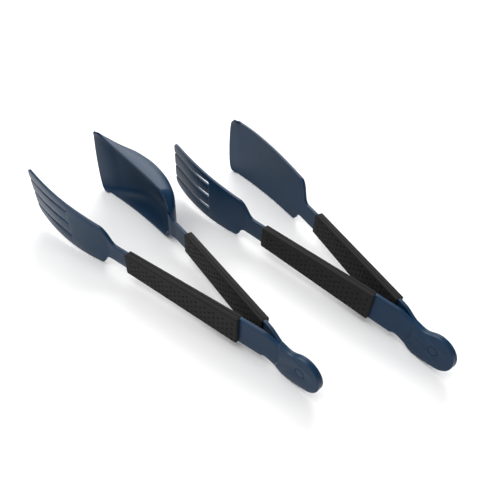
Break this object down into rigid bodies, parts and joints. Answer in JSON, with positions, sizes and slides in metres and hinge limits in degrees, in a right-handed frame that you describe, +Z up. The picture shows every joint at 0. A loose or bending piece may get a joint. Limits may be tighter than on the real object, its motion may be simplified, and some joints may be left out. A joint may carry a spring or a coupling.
{
  "type": "kitchen tongs set",
  "caption": "Spring-loaded kitchen tongs laid on edge: slotted fork arms facing a deep scoop or a flat turner, soft dimpled grips, leaf springs in a round riveted end.",
  "frame": {"origin": "centre of the bounding box, on the surface the set lies on", "axes": "+Z up; +Y from the joined ends towards the heads, between the two pairs; +X from the scoop pair towards the turner pair"},
  "size_m": [0.1902, 0.3501, 0.0659],
  "materials": {
    "nylon": "satin moulded nylon, navy",
    "soft_grip": "matte dimpled thermoplastic rubber, charcoal",
    "steel": "stainless spring steel"
  },
  "bodies": {
    "scoop_tongs_end": {"scoop_tongs_fork_end_plate": "nylon", "scoop_tongs_fork_leaf_spring": "steel", "scoop_tongs_scoop_end_plate": "nylon", "scoop_tongs_scoop_leaf_spring": "steel", "scoop_tongs_rivet": "steel", "scoop_tongs_rivet_caps": "nylon"},
    "scoop_tongs_fork": {"scoop_tongs_fork_arm": "nylon", "scoop_tongs_fork_grip_outer": "soft_grip", "scoop_tongs_fork_grip_inner": "soft_grip"},
    "scoop_tongs_scoop": {"scoop_tongs_scoop_arm": "nylon", "scoop_tongs_scoop_grip_outer": "soft_grip", "scoop_tongs_scoop_grip_inner": "soft_grip"},
    "turner_tongs_end": {"turner_tongs_fork_end_plate": "nylon", "turner_tongs_fork_leaf_spring": "steel", "turner_tongs_turner_end_plate": "nylon", "turner_tongs_turner_leaf_spring": "steel", "turner_tongs_rivet": "steel", "turner_tongs_rivet_caps": "nylon"},
    "turner_tongs_fork": {"turner_tongs_fork_arm": "nylon", "turner_tongs_fork_grip_outer": "soft_grip", "turner_tongs_fork_grip_inner": "soft_grip"},
    "turner_tongs_turner": {"turner_tongs_turner_arm": "nylon", "turner_tongs_turner_grip_outer": "soft_grip", "turner_tongs_turner_grip_inner": "soft_grip"}
  },
  "joints": [
    {"name": "scoop_tongs_fork_squeeze", "type": "hinge", "parent": "scoop_tongs_end", "child": "scoop_tongs_fork", "pos_m": [-0.03766, -0.09023, 0.0173], "axis": [-0.0008, 0.0124, -0.9999], "range_deg": [0, 6.6], "stiffness_Nm_per_rad": 1.5, "deforming": ["scoop_tongs_fork_leaf_spring"]},
    {"name": "scoop_tongs_scoop_squeeze", "type": "hinge", "parent": "scoop_tongs_end", "child": "scoop_tongs_scoop", "pos_m": [-0.03526, -0.09007, 0.0173], "axis": [0.0008, -0.0124, 0.9999], "range_deg": [0, 6.6], "stiffness_Nm_per_rad": 1.5, "deforming": ["scoop_tongs_scoop_leaf_spring"]},
    {"name": "turner_tongs_fork_squeeze", "type": "hinge", "parent": "turner_tongs_end", "child": "turner_tongs_fork", "pos_m": [0.04966, -0.13687, 0.0173], "axis": [0.0008, 0.0124, -0.9999], "range_deg": [0, 6.6], "stiffness_Nm_per_rad": 1.5, "deforming": ["turner_tongs_fork_leaf_spring"]},
    {"name": "turner_tongs_turner_squeeze", "type": "hinge", "parent": "turner_tongs_end", "child": "turner_tongs_turner", "pos_m": [0.05206, -0.13703, 0.0173], "axis": [-0.0008, -0.0124, 0.9999], "range_deg": [0, 6.6], "stiffness_Nm_per_rad": 1.5, "deforming": ["turner_tongs_turner_leaf_spring"]},
    {"name": "turner_tongs_lift", "type": "slide", "parent": "scoop_tongs_end", "child": "turner_tongs_end", "axis": [0, 0, 1], "range_m": [0, 0.1]}
  ]
}
